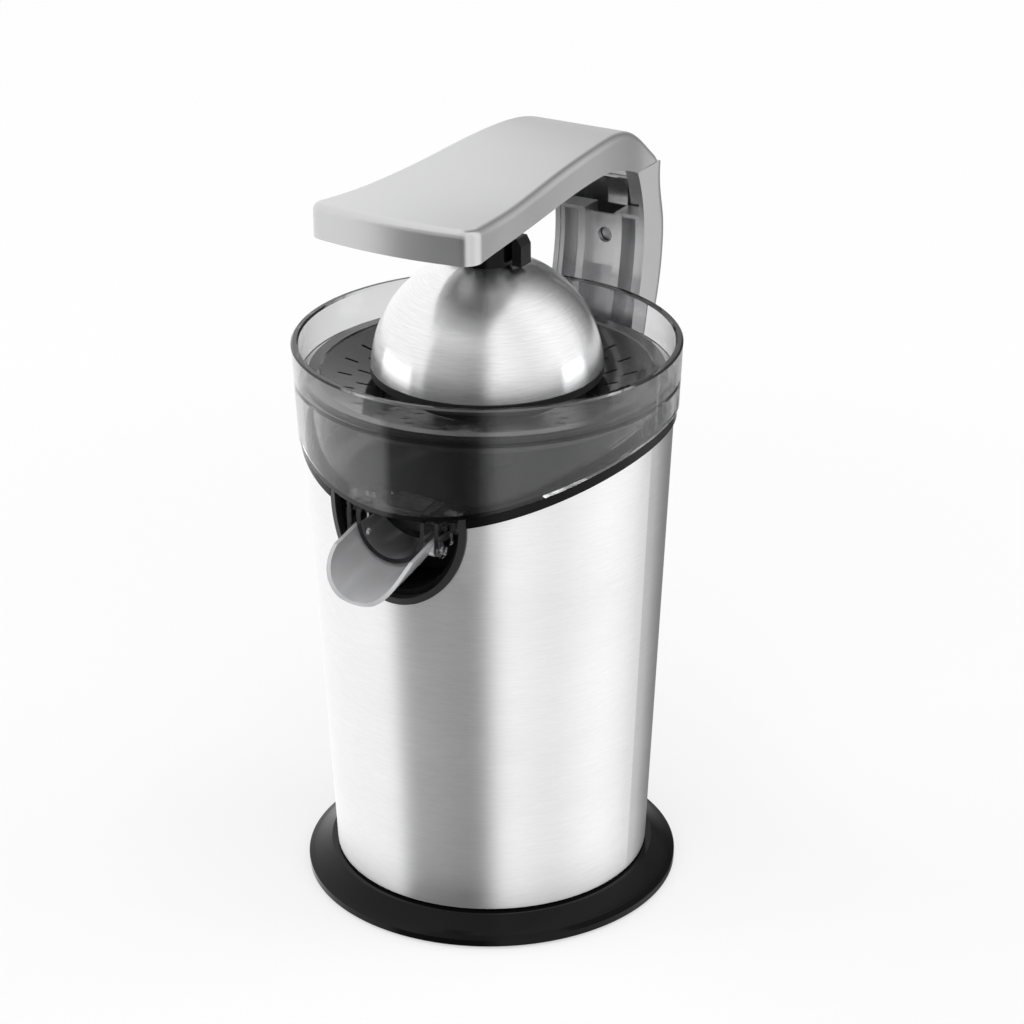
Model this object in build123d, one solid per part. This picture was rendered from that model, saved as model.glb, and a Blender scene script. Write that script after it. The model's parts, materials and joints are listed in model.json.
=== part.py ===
"""Lever citrus juice press: one solid, or one group of like solids, per physical piece.

Millimetres, +Z up. The origin is on the floor, under the reamer's axis. The spout points to -Y and
the column that carries the lever stands at +Y. The lever is down, as in use.
"""
from build123d import *
from math import acos, asin, atan2, cos, degrees, pi, radians, sin, sqrt, tan
import os

os.makedirs("parts", exist_ok=True)

# ---- clearances -------------------------------------------------------------------------------
RUN = 0.06            # radial clearance of a running fit
SEAT = 0.1            # gap between a piece and what it rests in
SWING = 0.3           # gap between curved faces that move past each other

# ---- base -------------------------------------------------------------------------------------
FOOT_H = 1.2          # how far the rubber feet stand out under the base
FOOT_R = 7.0
FOOT_INSET = 16.2     # from the outer lip to the middle of a foot
BASE_R = 86.2         # outer lip
LIP_H = 3.0
BASE_SHOULDER_R = 75.3
BASE_SHOULDER_Z = 11.2
BASE_WALL = 2.4
PLATE_T = 2.0
GLAND_R = 3.2
GLAND_BORE_R = 2.3

# ---- steel skin: a tapered tube ----------------------------------------------------------------
SKIN_T = 0.8
SKIN_Z0 = 12.4
SKIN_R0 = 72.4
SKIN_Z1 = 219.3
SKIN_R1 = 82.4

# ---- seam between body and container: an arc in side view --------------------------------------
SEAM_R = 216.0
SEAM_Y = 18.0         # where the arc is highest
SEAM_Z = 232.1
COLLAR_H = 5.4
COLLAR_PROUD = 1.2
COLLAR_T = 2.4
CUT_HALF_W = 31.3     # opening for the spout, inside its trim
CUT_DEPTH = 37.0
CUT_Z = 204.5
CUT_TRIM = 3.0        # width of the trim around it

# ---- container ---------------------------------------------------------------------------------
RIM_R = 86.3
RIM_Z = 260.9
RIM_WALL = 3.4
JAR_R0 = 83.7         # outer radius of the container at JAR_Z0
JAR_Z0 = 205.0
JAR_WALL = 2.9
LEDGE_Z = 245.0
BOWL_R = 77.8
BOWL_WALL = 2.4
FLOOR_Z = 213.5       # top of the bowl's floor on the axis
FLOOR_SLOPE = 0.075   # it falls towards the spout
TOWER_R = 17.5
TOWER_BORE_R = 14.8
TOWER_Z = 238.0

# ---- sieve -------------------------------------------------------------------------------------
SIEVE_T = 1.6
SIEVE_R = 79.0
SIEVE_RING_R = 74.0
SLOT_W = 1.5
SLOT_L = 6.0
SLOT_COUNT = 24
SLOT_ROWS = (38.0, 52.0, 60.0)

# ---- reamer, press dome ------------------------------------------------------------------------
REAMER_R = 35.5
REAMER_Z0 = 245.5
REAMER_H = 40.0
REAMER_WALL = 2.4
RIB_COUNT = 8
DOME_R = 51.4
DOME_T = 0.8
DOME_CENTRE_Z = 247.3
DOME_EDGE_Z = 249.0
LINER_T = 2.0
LINER_EDGE_Z = 245.5
CAP_R = 13.3
CAP_Z = 311.0
DOME_PIN_R = 2.2
DOME_PIN_Z = 306.0
YOKE_HALF_W = 4.8
PRESS_TRAVEL = 2.0

# ---- lever -------------------------------------------------------------------------------------
LEVER_SKIN = 2.4
LEVER_PART_Z = 313.4  # underside of its rear end, where it meets the column
LEVER_FRONT_R = 7.5   # corner radii in plan
LEVER_REAR_R = 8.0
LEVER_EDGE_R = 3.2    # rounding of its upper edge
LEVER_TOP = [(-82.0, 338.9), (-60, 337.1), (-40, 336.3), (-20, 336.6), (0, 337.5), (25, 338.8),
             (50, 339.4), (72, 338.2), (87, 334.2), (100, 326.9), (109.2, 319.8), (116.8, 313.4),
             (118.8, 311.3)]
LEVER_UNDER = [(-82.0, 323.4), (-60, 323.5), (-40, 323.6), (-20, 323.7), (0, 324.2), (20, 325.1),
               (40, 325.4), (54, 324.7), (68, 322.2), (80, 318.6), (93.5, 313.4)]
LEVER_PLAN = [(-76.5, 41.0), (-66, 39.7), (-55, 38.5), (-40, 37.1), (-20, 35.1), (0, 33.2), (20, 31.8),
              (40, 30.6), (60, 28.9), (80, 26.4), (95, 24.2), (106, 23.5), (119, 23.5)]
LEVER_BULGE = 4.5     # how far the front edge bows forward

# ---- column and hinge --------------------------------------------------------------------------
COLUMN_HALF_W = 23.5
COLUMN_WALL = 2.5
COLUMN_FRONT = [(94.6, 313.1), (98.4, 303.0), (100.8, 292.0), (101.5, 283.0), (101.0, 273.0),
                (99.2, 262.0), (96.2, 249.0), (92.4, 236.0), (88.4, 224.0)]
COLUMN_BACK = [(122.7, 301.2), (124.4, 292.6), (126.0, 284.8), (126.4, 277.0), (125.8, 268.0),
               (122.8, 251.5), (118.4, 238.0), (110.5, 220.0), (101.5, 200.0), (92.5, 175.0),
               (86.0, 156.0), (81.5, 142.0)]
COLUMN_SHOULDER_Z = 289.6
HINGE_Y = 115.0
HINGE_Z = 306.9
HINGE_PIN_R = 2.0
NOSE_R = 6.2
BARREL_R = 6.0
BARREL_HALF_W = 16.7
RIB_X0 = 7.8
RIB_X1 = 11.4

# ---- spout -------------------------------------------------------------------------------------
SPOUT_R = 20.6        # outside of its round section
SPOUT_T = 1.8
SPOUT_DEPTH = 14.0    # from its floor up to its rims
SPOUT_SLOPE = 11.0    # degrees, down to the front
SPOUT_Y = -80.0       # a point on its floor, from which its lengths are measured
SPOUT_Z = 182.6
SPOUT_LIP = -29.5     # front end of the floor
SPOUT_RIM = -12.3     # front end of the rims
SPOUT_REAR = 20.0
SPOUT_PLAY = 1.6      # between the spout and the container's outlet inside it
SPOUT_PIN_R = 1.6
SPOUT_PIN_Y = -76.0
SPOUT_PIN_Z = 193.0

# ---- drive -------------------------------------------------------------------------------------
SHAFT_R = 4.5
SQUARE = 6.3          # across the flats of the shaft's two square ends
SHAFT_Z0 = 119.6
SHAFT_Z1 = 268.0
GEAR_Z1 = 110.0       # underside of the first pair of gears
GEAR_FACE_1 = 6.0
GEAR_Z2 = 117.5       # underside of the output gear
GEAR_FACE_2 = 8.0
MODULE_1 = 0.8
MODULE_2 = 1.0
MOTOR_TEETH = 18
IDLER_TEETH = 54
IDLER_PINION_TEETH = 16
OUTPUT_TEETH = 56
MOTOR_R = 30.0
MOTOR_Z0 = 46.0
SHELF_Z = 104.0       # top of the chassis shelf that carries the gearbox
GEARBOX_R = 62.0
GEARBOX_Z1 = 134.0


# ---- helpers -----------------------------------------------------------------------------------
def skin_r(z):
    """Outer radius of the steel skin at height z."""
    return SKIN_R0 + (z - SKIN_Z0) * (SKIN_R1 - SKIN_R0) / (SKIN_Z1 - SKIN_Z0)


def jar_r(z):
    """Outer radius of the container's wall at height z."""
    return JAR_R0 + (z - JAR_Z0) * (RIM_R - JAR_R0) / (RIM_Z - JAR_Z0)


def turned(points):
    """Solid of revolution about Z of a closed (radius, z) outline."""
    outline = Plane.XZ * Polyline(*points, close=True)
    return revolve(make_face(outline), axis=Axis.Z)


def tube(outer, inner, z0, z1, x=0.0, y=0.0):
    """Upright tube, or a solid rod where inner is 0."""
    solid = Pos(x, y, (z0 + z1) / 2) * Cylinder(outer, z1 - z0)
    if inner:
        solid -= Pos(x, y, (z0 + z1) / 2) * Cylinder(inner, z1 - z0 + 1)
    return solid


def rod_x(radius, x0, x1, y, z):
    """Rod along X."""
    return Pos((x0 + x1) / 2, y, z) * Rot(0, 90, 0) * Cylinder(radius, x1 - x0)


def rod_y(radius, y0, y1, x, z):
    """Rod along Y."""
    return Pos(x, (y0 + y1) / 2, z) * Rot(90, 0, 0) * Cylinder(radius, y1 - y0)


def block(x0, x1, y0, y1, z0, z1):
    """Box between two corners."""
    return Pos((x0 + x1) / 2, (y0 + y1) / 2, (z0 + z1) / 2) * Box(x1 - x0, y1 - y0, z1 - z0)


def under_seam(drop):
    """Everything below the seam's arc, lowered by drop."""
    return Pos(0, SEAM_Y, SEAM_Z - SEAM_R - drop) * Rot(0, 90, 0) * Cylinder(SEAM_R, 260)


def side_slab(edges, half_width):
    """Outline in side view (Y, Z) extruded to both sides of the middle plane."""
    face = Face(Wire([Plane.YZ * edge for edge in edges]))
    return Pos(-half_width, 0, 0) * extrude(face, amount=2 * half_width, dir=(1, 0, 0))


def cut_out(grow, y0, y1):
    """U-shaped prism of the spout's cut-out, grown by a margin, from y0 to y1."""
    half_w = CUT_HALF_W + grow
    low = EllipticalCenterArc((0, 0), half_w, CUT_DEPTH + grow, start_angle=180, arc_size=180)
    sides = Polyline(low @ 1, (half_w, 60), (-half_w, 60), low @ 0)
    prism = extrude(Plane.XZ * make_face([low, sides]), amount=y1 - y0, dir=(0, 1, 0))
    return Pos(0, y0, CUT_Z) * prism


def inset(points, distance):
    """Points moved to the right of their direction of travel by distance."""
    moved = []
    for i, (a, b) in enumerate(points):
        before = points[max(i - 1, 0)]
        after = points[min(i + 1, len(points) - 1)]
        da, db = after[0] - before[0], after[1] - before[1]
        length = sqrt(da * da + db * db)
        moved.append((a + db / length * distance, b - da / length * distance))
    return moved


def gear(teeth, module, width, phase, z0, x=0.0, y=0.0):
    """Involute spur gear, 20 degree pressure angle; one tooth is centred on phase (degrees)."""
    pitch_r = teeth * module / 2
    base_r = pitch_r * cos(radians(20))
    tip_r = pitch_r + 0.95 * module
    root_r = pitch_r - 1.25 * module
    backlash = 0.06 * module
    half = pi / (2 * teeth) - backlash / pitch_r
    flank = []
    for step in range(5):
        r = max(base_r, root_r) + (tip_r - max(base_r, root_r)) * step / 4
        turn = acos(min(1.0, base_r / r))
        flank.append((r, half + (tan(radians(20)) - radians(20)) - (tan(turn) - turn)))
    if root_r < base_r:
        flank.insert(0, (root_r, flank[0][1]))
    points = []
    for tooth in range(teeth):
        middle = radians(phase) + 2 * pi * tooth / teeth
        for r, angle in flank:
            points.append((r * cos(middle - angle), r * sin(middle - angle)))
        for r, angle in reversed(flank):
            points.append((r * cos(middle + angle), r * sin(middle + angle)))
    return Pos(x, y, z0) * extrude(make_face(Polyline(*points, close=True)), amount=width)


def coil(radius, wire, z0, z1, turns):
    """Compression spring about Z, its wire inside z0 to z1."""
    path = Helix(pitch=(z1 - z0 - wire) / turns, height=z1 - z0 - wire, radius=radius)
    section = Plane(origin=path @ 0, z_dir=path % 0) * Circle(wire / 2)
    return Pos(0, 0, z0 + wire / 2) * sweep(section, path=path)


def screws(places, head_r, head_h, shank_r, z_head, length, up=True):
    """Upright screws: the head's outer face is at z_head and the shank runs up (or down)."""
    sign = 1 if up else -1
    group = []
    for x, y in places:
        z_neck = z_head + sign * head_h
        z_end = z_neck + sign * length
        head = tube(head_r, 0, min(z_head, z_neck), max(z_head, z_neck), x, y)
        slot = block(x - head_r, x + head_r, y - 0.4, y + 0.4,
                     min(z_head, z_head + sign * 0.6), max(z_head, z_head + sign * 0.6))
        shank = tube(shank_r, 0, min(z_neck, z_end), max(z_neck, z_end), x, y)
        group.append(head - slot + shank)
    return group


def around(count, radius, start=0.0):
    """Points on a circle."""
    turns = [radians(start + 360 * i / count) for i in range(count)]
    return [(radius * cos(t), radius * sin(t)) for t in turns]


parts = {}

# ---- base --------------------------------------------------------------------------------------
flare = []
flare_r = BASE_R - 1.0
flare_z = FOOT_H + LIP_H + 0.4
for i in range(7):
    t = i / 6
    flare.append((flare_r - (flare_r - BASE_SHOULDER_R) * t,
                  flare_z + (BASE_SHOULDER_Z - flare_z) * t ** 1.25))
spigot_r = SKIN_R0 - SKIN_T - SEAT
spigot_top = SKIN_Z0 + 10.0
spigot_in = spigot_r - 2.2
under_flare_z = BASE_SHOULDER_Z - BASE_WALL
base_ring = turned([(BASE_R, FOOT_H), (BASE_R, FOOT_H + LIP_H)] + flare
                   + [(SKIN_R0 - 0.2, BASE_SHOULDER_Z), (SKIN_R0 - 0.2, SKIN_Z0),
                      (spigot_r, SKIN_Z0), (spigot_r, spigot_top), (spigot_in, spigot_top),
                      (spigot_in, under_flare_z), (BASE_SHOULDER_R - 2, under_flare_z),
                      (BASE_R - BASE_WALL - 1, FOOT_H + LIP_H - 0.2), (BASE_R - BASE_WALL, FOOT_H)])
plate_z = FOOT_H + 1.0
tub_low = plate_z + PLATE_T
gland_z = tub_low + GLAND_R + 0.3
gland_y0, gland_y1 = spigot_in - 6, BASE_R - 2.7
gland_hole = rod_y(GLAND_R + SEAT, gland_y0 - 6, BASE_R + 5, 0, gland_z)
parts["base_ring"] = base_ring - gland_hole
gland = rod_y(GLAND_R, gland_y0, gland_y1, 0, gland_z)
parts["cord_gland"] = gland - rod_y(GLAND_BORE_R, gland_y0 - 5, gland_y1 + 5, 0, gland_z)

plate_r = BASE_R - BASE_WALL - 1.8
plate = tube(plate_r, 0, plate_z, plate_z + PLATE_T)
tub_foot_r = spigot_in - 0.3
boss_spots = around(4, tub_foot_r - 5.0, 45)
for x, y in boss_spots:
    plate -= tube(2.2, 0, plate_z - 1, plate_z + PLATE_T + 1, x, y)
for row in (-32, -25, -18, 18, 25, 32):
    plate -= block(-20, 20, row - 1.6, row + 1.6, plate_z - 1, plate_z + PLATE_T + 1)
parts["bottom_plate"] = plate
foot_spots = around(4, BASE_R - FOOT_INSET, 0) + [(0, 0)]
parts["rubber_feet"] = [tube(FOOT_R, 0, 0, plate_z, x, y) for x, y in foot_spots]
parts["bottom_screws"] = screws(boss_spots, 3.6, 0.9, 1.8, plate_z - 0.9, 16.0)

# ---- steel skin and black collar ---------------------------------------------------------------
skin_top = SEAM_Z + 8
skin = turned([(skin_r(SKIN_Z0), SKIN_Z0), (skin_r(skin_top), skin_top),
               (skin_r(skin_top) - SKIN_T, skin_top), (skin_r(SKIN_Z0) - SKIN_T, SKIN_Z0)])
skin = skin & under_seam(COLLAR_H)
cut_y0, cut_y1 = -100, -20
parts["steel_skin"] = skin - cut_out(CUT_TRIM / 2, cut_y0, cut_y1)


def skin_band(outside, inside, z0):
    """Tapered tube that follows the skin, between two offsets from its outer face."""
    top = SEAM_Z + 8
    return turned([(skin_r(z0) + outside, z0), (skin_r(top) + outside, top),
                   (skin_r(top) + inside, top), (skin_r(z0) + inside, z0)])


band_low = 150.0
spigot_out = -SKIN_T - SEAT
spigot_in_off = spigot_out - COLLAR_T
collar = skin_band(COLLAR_PROUD, spigot_in_off, band_low) & under_seam(SWING)
collar -= under_seam(COLLAR_H)
collar_spigot = skin_band(spigot_out, spigot_in_off, band_low) & under_seam(COLLAR_H - 0.5)
collar += collar_spigot - under_seam(COLLAR_H + 7)
parts["collar"] = collar - cut_out(CUT_TRIM + SEAT, cut_y0, cut_y1)
trim_lip = cut_out(CUT_TRIM, cut_y0, cut_y1) - cut_out(0, cut_y0 - 1, cut_y1 + 1)
trim_web = cut_out(CUT_TRIM / 2 - SEAT, cut_y0, cut_y1) - cut_out(0, cut_y0 - 1, cut_y1 + 1)
trim = skin_band(1.0, 0.05, band_low) & trim_lip
trim += skin_band(0.5, spigot_in_off, band_low) & trim_web
parts["spout_trim"] = trim & under_seam(SWING)

# ---- chassis: moulded tub that carries drive and container -------------------------------------
chassis_gap = SKIN_T + COLLAR_T + 0.3
chassis_t = 2.2
deck_z = 203.0
deck_t = 2.6
niche_back = -52.0
tub_step = spigot_top + 4
tub = turned([(tub_foot_r, tub_low), (tub_foot_r, tub_step), (skin_r(tub_step) - chassis_gap, tub_step),
              (skin_r(deck_z) - chassis_gap, deck_z), (TOWER_BORE_R - 2, deck_z),
              (TOWER_BORE_R - 2, deck_z - deck_t),
              (skin_r(deck_z) - chassis_gap - chassis_t, deck_z - deck_t),
              (skin_r(tub_step) - chassis_gap - chassis_t, tub_step + 3),
              (tub_foot_r - chassis_t, tub_step), (tub_foot_r - chassis_t, tub_low)])
inside_skin = turned([(0, tub_low), (tub_foot_r, tub_low), (tub_foot_r, tub_step),
                      (skin_r(tub_step) - chassis_gap, tub_step),
                      (skin_r(deck_z) - chassis_gap, deck_z), (0, deck_z)])
tub += cut_out(-0.4, cut_y0, niche_back + chassis_t) & inside_skin
tub -= cut_out(-0.4 - chassis_t, cut_y0 - 10, niche_back)
boss_r = TOWER_BORE_R - 1.2
boss_top = TOWER_Z - 4
bush_r = 7.5
bush_z0 = boss_top - 12
tub += tube(boss_r, 0, deck_z - deck_t - 6, boss_top)
tub -= tube(bush_r + 0.02, 0, bush_z0, boss_top + 1)
tub -= tube(SHAFT_R + 1.5, 0, 150, boss_top + 1)
tub += tube(skin_r(SHELF_Z) - chassis_gap - 1, GEARBOX_R - 8, SHELF_Z - 3, SHELF_Z)
gearbox_spots = around(3, GEARBOX_R - 5, -90)
for x, y in gearbox_spots:
    tub += tube(3.6, 0, SHELF_Z - 12, SHELF_Z - 2, x, y)
    tub -= tube(1.6 + SEAT, 0, SHELF_Z - 13, SHELF_Z + 1, x, y)
for x, y in boss_spots:
    tub += tube(4.2, 0, tub_low, tub_low + 20, x, y)
    tub -= tube(1.8 + SEAT, 0, tub_low - 1, tub_low + 18, x, y)
tub -= gland_hole
column_screw_zs = (165.0, 190.0)
for z in column_screw_zs:
    hole = rod_y(2.2, 60, skin_r(z) + 2, 0, z)
    tub -= hole
    parts["steel_skin"] -= hole
parts["chassis"] = tub
parts["shaft_bush"] = tube(bush_r, SHAFT_R + RUN, bush_z0, boss_top - 0.2)
parts["shaft_seal"] = tube(10.0, SHAFT_R + RUN, boss_top, boss_top + 1.7)

# ---- motor -------------------------------------------------------------------------------------
idler_y = (IDLER_PINION_TEETH + OUTPUT_TEETH) * MODULE_2 / 2
motor_y = idler_y - (MOTOR_TEETH + IDLER_TEETH) * MODULE_1 / 2
plate_top = SHELF_Z + 2.5
cap_t = 2.5
can_top = SHELF_Z - cap_t
can_t = 1.5
rotor_r = 2.5
can = tube(MOTOR_R, 0, MOTOR_Z0, can_top, 0, motor_y)
can -= tube(MOTOR_R - can_t, 0, MOTOR_Z0 + can_t, can_top + 1, 0, motor_y)
can += tube(7.0, 0, MOTOR_Z0 - 4, MOTOR_Z0, 0, motor_y)
can -= tube(rotor_r + RUN, 0, MOTOR_Z0 - 2.5, MOTOR_Z0 + 3, 0, motor_y)
parts["motor_can"] = can
parts["motor_magnets"] = tube(MOTOR_R - can_t - SEAT, 24.0, 54.0, 94.0, 0, motor_y)
motor_cap = tube(MOTOR_R, rotor_r + RUN, can_top, SHELF_Z, 0, motor_y)
motor_cap += tube(6.0, rotor_r + RUN, SHELF_Z - 1, plate_top + 0.6, 0, motor_y)
motor_spots = [(-18.0, motor_y), (18.0, motor_y)]
for x, y in motor_spots:
    motor_cap -= tube(1.8, 0, can_top - 1, SHELF_Z + 1, x, y)
parts["motor_cap"] = motor_cap
rotor = tube(rotor_r, 0, MOTOR_Z0 - 2.3, GEAR_Z1 + GEAR_FACE_1 + 0.6, 0, motor_y)
rotor += tube(23.2, 0, 60.0, 88.0, 0, motor_y)
for x, y in around(8, 23.2, 11):
    rotor -= tube(1.6, 0, 59, 89, x, motor_y + y)
rotor += tube(9.0, 0, 90.0, 97.0, 0, motor_y) + tube(rotor_r + 2, 0, 55, 98, 0, motor_y)
parts["rotor"] = rotor
pinion = gear(MOTOR_TEETH, MODULE_1, GEAR_FACE_1 + 0.6, 90.0, GEAR_Z1, 0, motor_y)
parts["motor_pinion"] = pinion - tube(rotor_r + 0.01, 0, GEAR_Z1 - 1, GEAR_Z1 + 9, 0, motor_y)

# ---- gearbox -----------------------------------------------------------------------------------
plate = tube(GEARBOX_R, 0, SHELF_Z, plate_top)
plate += tube(6.0, 0, plate_top - 1, GEAR_Z1 - 0.2, 0, idler_y)
plate -= tube(6.0 + SEAT, 0, SHELF_Z - 1, plate_top + 1, 0, motor_y)
axle_r = 3.0
plate -= tube(axle_r + 0.02, 0, SHELF_Z + 0.6, GEAR_Z1 + 1, 0, idler_y)
for x, y in motor_spots:
    plate -= tube(1.8, 0, SHELF_Z - 1, plate_top + 1, x, y)
for x, y in gearbox_spots:
    plate -= tube(1.8, 0, SHELF_Z - 1, plate_top + 1, x, y)
parts["gearbox_plate"] = plate
parts["motor_screws"] = screws(motor_spots, 3.0, 1.6, 1.7, plate_top + 1.6, 4.8, up=False)
cover_t = 2.5
hub_r = 8.0
cover_in = GEARBOX_Z1 - cover_t
cover = tube(GEARBOX_R, 0, plate_top, GEARBOX_Z1)
cover -= tube(GEARBOX_R - 2.4, 0, plate_top - 1, cover_in)
cover += tube(hub_r + 2.5, 0, cover_in - 2, cover_in + 1)
cover += tube(6.0, 0, cover_in - 3, cover_in + 1, 0, idler_y)
cover -= tube(hub_r + RUN, 0, cover_in - 4, GEARBOX_Z1 + 1)
cover -= tube(axle_r + 0.02, 0, cover_in - 4, GEARBOX_Z1 - 0.6, 0, idler_y)
for x, y in gearbox_spots:
    cover += tube(3.8, 0, plate_top, GEARBOX_Z1, x, y)
    cover -= tube(1.8, 0, plate_top - 1, GEARBOX_Z1 + 1, x, y)
parts["gearbox_cover"] = cover
parts["gearbox_screws"] = screws(gearbox_spots, 3.4, 1.8, 1.6, GEARBOX_Z1 + 1.8,
                                 GEARBOX_Z1 - SHELF_Z + 9, up=False)
parts["idler_axle"] = tube(axle_r, 0, SHELF_Z + 0.7, GEARBOX_Z1 - 0.7, 0, idler_y)
idler = gear(IDLER_TEETH, MODULE_1, GEAR_FACE_1, 270.0 + 180 / IDLER_TEETH, GEAR_Z1, 0, idler_y)
idler += gear(IDLER_PINION_TEETH, MODULE_2, GEAR_FACE_2 + 3, 270.0, GEAR_Z1 + GEAR_FACE_1 - 0.5,
              0, idler_y)
idler -= tube(axle_r + RUN, 0, GEAR_Z1 - 1, GEAR_Z1 + 30, 0, idler_y)
parts["idler_gear"] = idler
hub_top = GEARBOX_Z1 + 2.0
clip_z = GEARBOX_Z1 + 0.1
output = gear(OUTPUT_TEETH, MODULE_2, GEAR_FACE_2, 90.0 + 180 / OUTPUT_TEETH, GEAR_Z2)
output += tube(hub_r, 0, GEAR_Z2 + 1, hub_top)
output -= tube(hub_r + 1, hub_r - 0.8, clip_z, clip_z + 1.0)
output -= block(-SQUARE / 2 - RUN, SQUARE / 2 + RUN, -SQUARE / 2 - RUN, SQUARE / 2 + RUN,
                GEAR_Z2 - 1, hub_top + 1)
parts["output_gear"] = output
clip = tube(hub_r + 1.6, hub_r - 0.78, clip_z + 0.05, clip_z + 0.95)
parts["gear_clip"] = clip - block(-2.0, 2.0, 0, 20, clip_z - 1, clip_z + 2)

# ---- drive shaft, return spring, switch --------------------------------------------------------
flange_z = 148.0
flange_t = 2.0
square_z = 246.0
shaft = tube(SHAFT_R, 0, hub_top + PRESS_TRAVEL + 0.6, square_z)
shaft += block(-SQUARE / 2, SQUARE / 2, -SQUARE / 2, SQUARE / 2, SHAFT_Z0, SHAFT_Z1)
shaft += tube(15.0, 0, flange_z, flange_z + flange_t)
parts["drive_shaft"] = shaft
parts["return_spring"] = coil(6.4, 1.2, hub_top + 0.05, flange_z - 0.05, 4)
plunger_x = 12.6
plunger_r = 1.4
switch_z0 = GEARBOX_Z1
switch_z1 = flange_z - PRESS_TRAVEL - 0.2
switch_box = block(plunger_x - 3.0, plunger_x + 9.0, -5, 5, switch_z0, switch_z1)
switch_box -= tube(plunger_r + RUN, 0, switch_z0 + 2, switch_z1 + 1, plunger_x, 0)
for y in (-2.5, 2.5):
    switch_box += block(plunger_x + 8, plunger_x + 14, y - 0.3, y + 0.3, switch_z0 + 4, switch_z0 + 7)
parts["microswitch"] = switch_box
parts["switch_plunger"] = tube(plunger_r, 0, switch_z0 + 2 + PRESS_TRAVEL + 0.4, flange_z,
                               plunger_x, 0)

# ---- container ---------------------------------------------------------------------------------
jar_in_low = jar_r(200) - JAR_WALL
jar = turned([(jar_r(200), 200), (jar_r(RIM_Z - 0.8), RIM_Z - 0.8), (jar_r(RIM_Z) - 0.8, RIM_Z),
              (RIM_R - RIM_WALL + 0.8, RIM_Z), (RIM_R - RIM_WALL, RIM_Z - 0.8),
              (RIM_R - RIM_WALL - 0.2, LEDGE_Z), (jar_r(LEDGE_Z - 4) - JAR_WALL, LEDGE_Z - 4),
              (jar_in_low, 200)])
jar -= under_seam(0)
bowl_in = BOWL_R - BOWL_WALL
bowl_low = 196.0
ledge_out = RIM_R - RIM_WALL + 0.2
bowl = turned([(BOWL_R, bowl_low), (BOWL_R, LEDGE_Z - 3.4), (ledge_out, LEDGE_Z - 2.0),
               (ledge_out, LEDGE_Z), (bowl_in, LEDGE_Z), (bowl_in, bowl_low)])
tower = tube(TOWER_R, TOWER_BORE_R, bowl_low, TOWER_Z) + tube(TOWER_R, 7.5, TOWER_Z - 2, TOWER_Z)
floor_t = 2.6


def floor_at(y):
    """Height of the bowl's floor at a distance along Y."""
    return FLOOR_Z + FLOOR_SLOPE * y


def above_floor(drop):
    """Everything above the bowl's sloping floor, lowered by drop."""
    outline = [(-100, floor_at(-100) - drop), (100, floor_at(100) - drop), (100, 300), (-100, 300)]
    edges = [Line(outline[i], outline[(i + 1) % 4]) for i in range(4)]
    return side_slab(edges, 90)


floor = tube(BOWL_R, TOWER_BORE_R, bowl_low, 235) & above_floor(floor_t)
floor -= above_floor(0)
bowl = (bowl + tower) & above_floor(floor_t)
jar += bowl + floor
spout_in = SPOUT_R - SPOUT_T
spout_frame = Pos(0, SPOUT_Y, SPOUT_Z) * Rot(SPOUT_SLOPE, 0, 0)


def channel(radius, y0, y1, height):
    """Prism along the spout: round below, straight above, as deep as the spout's section."""
    round_low = ThreePointArc((-radius, spout_in), (0, spout_in - radius), (radius, spout_in))
    sides = Polyline(round_low @ 1, (radius, height), (-radius, height), round_low @ 0)
    section = Plane.XZ * make_face([round_low, sides])
    return spout_frame * Pos(0, y0, 0) * extrude(section, amount=y1 - y0, dir=(0, 1, 0))


outlet_y0, outlet_y1 = -81.3, -57.6
outlet_r = spout_in - SPOUT_PLAY
outlet_t = 2.2
outlet = channel(outlet_r, -10, 35, 40) & block(-40, 40, outlet_y0, outlet_y1, 150, 250)
bore = channel(outlet_r - outlet_t, -15, 40, 50)
outlet -= bore & block(-40, 40, outlet_y0 - 5, outlet_y1 - outlet_t, 150, 250)
jar += outlet - above_floor(1.0)
lug_y0, lug_y1 = -BOWL_R + 6.8, -BOWL_R + 13.8
lug_z = 199.5
ear_x0, ear_x1 = SPOUT_R + 0.4, SPOUT_R + 2.6
pin_x0 = spout_in - 3.0
for side in (-1, 1):
    x0, x1 = sorted((side * 14.0, side * 27.0))
    jar += block(x0, x1, lug_y0, lug_y1, lug_z, floor_at(lug_y0) - 1)
    x0, x1 = sorted((side * ear_x0, side * ear_x1))
    ear = block(x0, x1, SPOUT_PIN_Y - 3.6, SPOUT_PIN_Y + 8, SPOUT_PIN_Z, floor_at(SPOUT_PIN_Y) - 1)
    ear += rod_x(3.6, x0, x1, SPOUT_PIN_Y, SPOUT_PIN_Z)
    x0, x1 = sorted((side * pin_x0, side * (ear_x0 + 1)))
    jar += ear + rod_x(SPOUT_PIN_R, x0, x1, SPOUT_PIN_Y, SPOUT_PIN_Z)
for x, y in around(4, BOWL_R - 17.8, 0):
    if y > -30:
        jar += tube(4.0, 0, deck_z, floor_at(y) - 1, x, y)
drain_x = 11.0
drain_y0, drain_y1 = -72.0, -60.0
jar -= block(-drain_x, drain_x, drain_y0, drain_y1, floor_at(drain_y0) - 5, floor_at(0))
parts["juice_container"] = jar

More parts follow.
